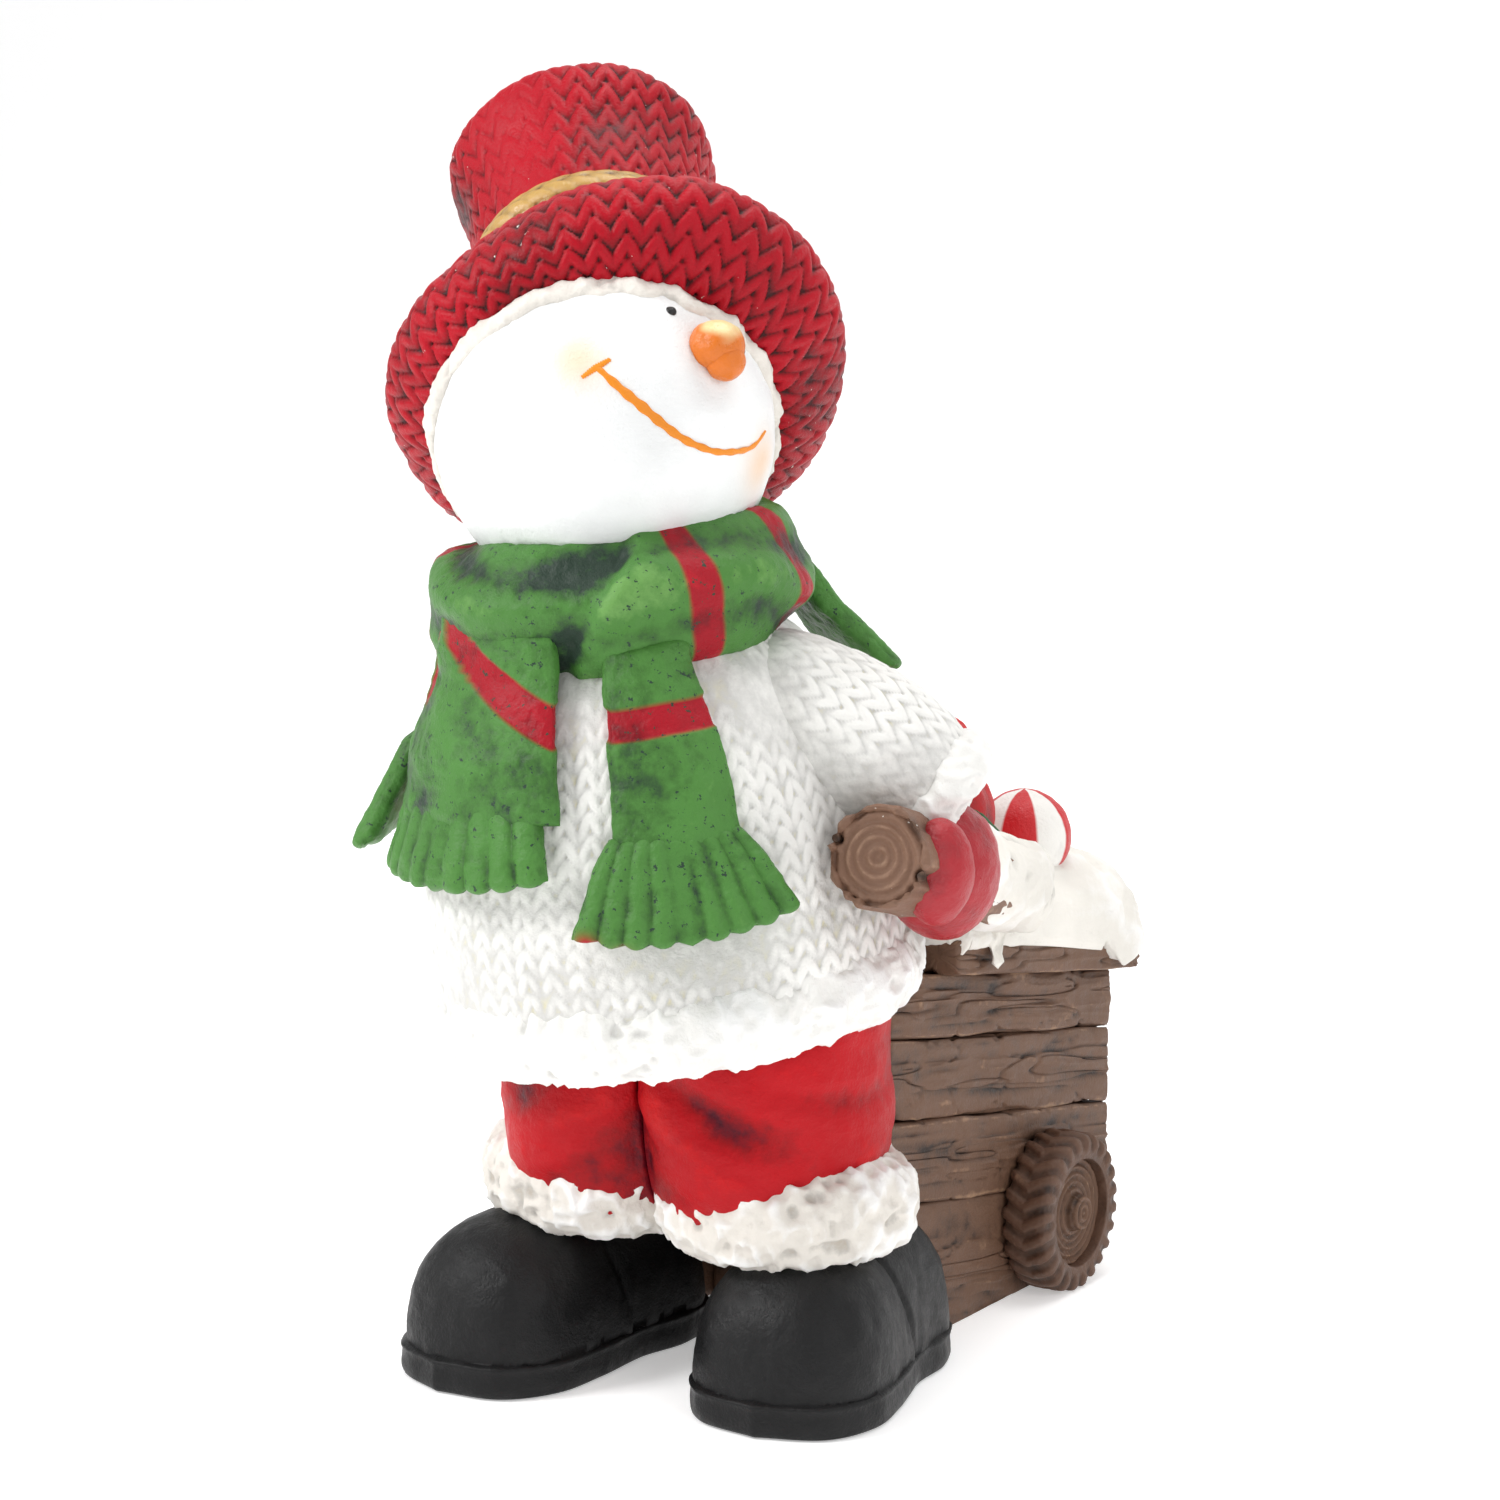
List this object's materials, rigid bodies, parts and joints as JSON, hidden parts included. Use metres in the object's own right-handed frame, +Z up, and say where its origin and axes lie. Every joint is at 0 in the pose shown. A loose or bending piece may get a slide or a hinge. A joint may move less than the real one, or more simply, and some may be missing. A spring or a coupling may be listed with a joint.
{
  "type": "snowman figure with handcart",
  "caption": "Painted cast mineral snowman in a knitted hat, scarf, pullover and boots, holding a snow-filled handcart behind it.",
  "frame": {"origin": "centre of the whole figure's bounding box in plan, on the surface it stands on", "axes": "+Z up, -Y the way the boots point, +X the figure's own left, +Y towards the cart"},
  "size_m": [0.2274, 0.3166, 0.4344],
  "materials": {
    "white_body": "matte brushed white paint on cast mineral",
    "orange_nose": "hand-painted orange over pale yellow",
    "black_eye": "hand-painted black dot",
    "red_knit": "crimson paint over sculpted knit, darker in the recesses",
    "gold_braid": "gold paint over brown in the recesses",
    "green_scarf": "light green dry-brushed over dark green",
    "white_knit": "white paint over sculpted knit with faint yellow wash",
    "red_cloth": "red paint with purple shading in the folds",
    "white_fleece": "rough white paint with beige in the recesses",
    "black_boot": "matte black paint",
    "brown_boards": "brown stain over a cast imitation of wood grain, tan on the high points",
    "snow": "rough white paint",
    "ball_paint": "white paint with red stripes"
  },
  "bodies": {
    "root": {"boot_left": "black_boot", "boot_right": "black_boot", "carrot_nose": "orange_nose", "cart_boards_back": "brown_boards", "cart_boards_front": "brown_boards", "cart_boards_left": "brown_boards", "cart_boards_right": "brown_boards", "cart_floor": "brown_boards", "cart_handle_left": "brown_boards", "cart_handle_right": "brown_boards", "cart_rim": "brown_boards", "eyes": "black_eye", "green_strap": "green_scarf", "hat_braid": "gold_braid", "hat_brim": "red_knit", "hat_crown": "red_knit", "head": "white_body", "mitten_left": "red_cloth", "mitten_right": "red_cloth", "pullover_body": "white_knit", "pullover_hem": "white_knit", "red_sack": "red_cloth", "sack_tie": "white_fleece", "scarf_back_end": "green_scarf", "scarf_collar": "green_scarf", "scarf_front_fringe": "green_scarf", "scarf_front_tail": "green_scarf", "scarf_shoulder_drape": "green_scarf", "scarf_shoulder_fringe": "green_scarf", "scarf_side_end": "green_scarf", "sleeve_cuff_left": "white_knit", "sleeve_cuff_right": "white_knit", "sleeve_left": "white_knit", "sleeve_right": "white_knit", "snow_load": "snow", "sole_left": "black_boot", "sole_right": "black_boot", "striped_ball": "ball_paint", "trouser_cuff_left": "white_fleece", "trouser_cuff_right": "white_fleece", "trouser_leg_left": "red_cloth", "trouser_leg_right": "red_cloth", "trousers_seat": "red_cloth", "tyre_left": "brown_boards", "tyre_right": "brown_boards", "wheel_disc_left": "brown_boards", "wheel_disc_right": "brown_boards"}
  },
  "joints": []
}
